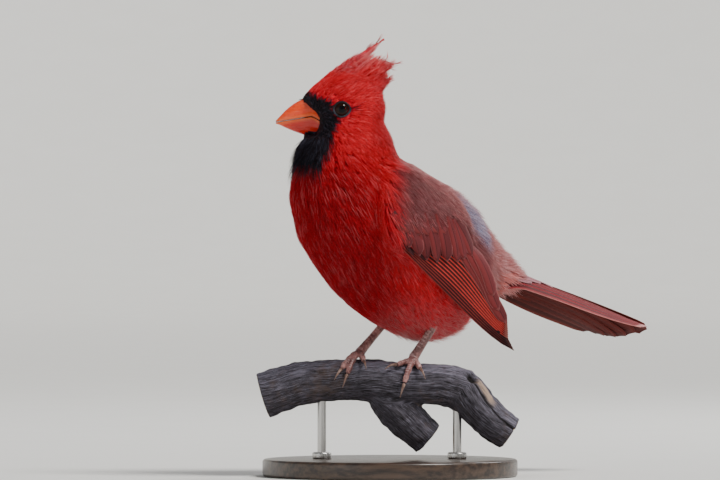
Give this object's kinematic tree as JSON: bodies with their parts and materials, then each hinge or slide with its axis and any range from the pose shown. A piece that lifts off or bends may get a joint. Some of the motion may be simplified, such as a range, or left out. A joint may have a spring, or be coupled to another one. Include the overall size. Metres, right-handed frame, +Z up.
{
  "type": "northern cardinal",
  "caption": "Life-size still model of a male northern cardinal gripping a cut length of weathered branch, held on rods over a round flat base.",
  "frame": {"origin": "centre of the stand base's underside", "axes": "+Z up; -X the way the head faces along the branch; -Y towards the viewer of the picture, on the bird's left side"},
  "size_m": [0.1793, 0.1373, 0.1992],
  "materials": {
    "feathers_red": "cherry red body feathers, soft and fringed, black round the bill",
    "feathers_dusky": "dusky rose and greyish wing, back and tail feathers with redder edges",
    "bill": "orange-red horn, paler along the cutting edges, faintly scuffed",
    "eye": "dark brown iris and black pupil under a wet clear surface",
    "leg": "scaly brownish pink skin",
    "claw": "brown horn, paler at the tips",
    "bark": "bare weathered grey wood with dark grain, cracks and a knot",
    "stand_rod": "brushed, with a small collar at the foot",
    "stand_base": "dark stained wood, satin"
  },
  "bodies": {
    "root": {"head": "feathers_red", "neck": "feathers_red", "trunk": "feathers_red", "rump": "feathers_dusky", "crest": "feathers_red", "bill_upper": "bill", "bill_lower": "bill", "eye_left": "eye", "eye_right": "eye", "wing_left_arm": "feathers_dusky", "wing_left_primaries": "feathers_dusky", "wing_left_secondaries": "feathers_dusky", "wing_right_arm": "feathers_dusky", "wing_right_primaries": "feathers_dusky", "wing_right_secondaries": "feathers_dusky", "tail": "feathers_dusky", "shin_left": "leg", "foot_left": "leg", "claw_left_inner": "claw", "claw_left_middle": "claw", "claw_left_outer": "claw", "claw_left_hind": "claw", "shin_right": "leg", "foot_right": "leg", "claw_right_inner": "claw", "claw_right_middle": "claw", "claw_right_outer": "claw", "claw_right_hind": "claw", "perch": "bark", "stand_rod_front": "stand_rod", "stand_rod_back": "stand_rod", "stand_base": "stand_base"}
  },
  "joints": []
}
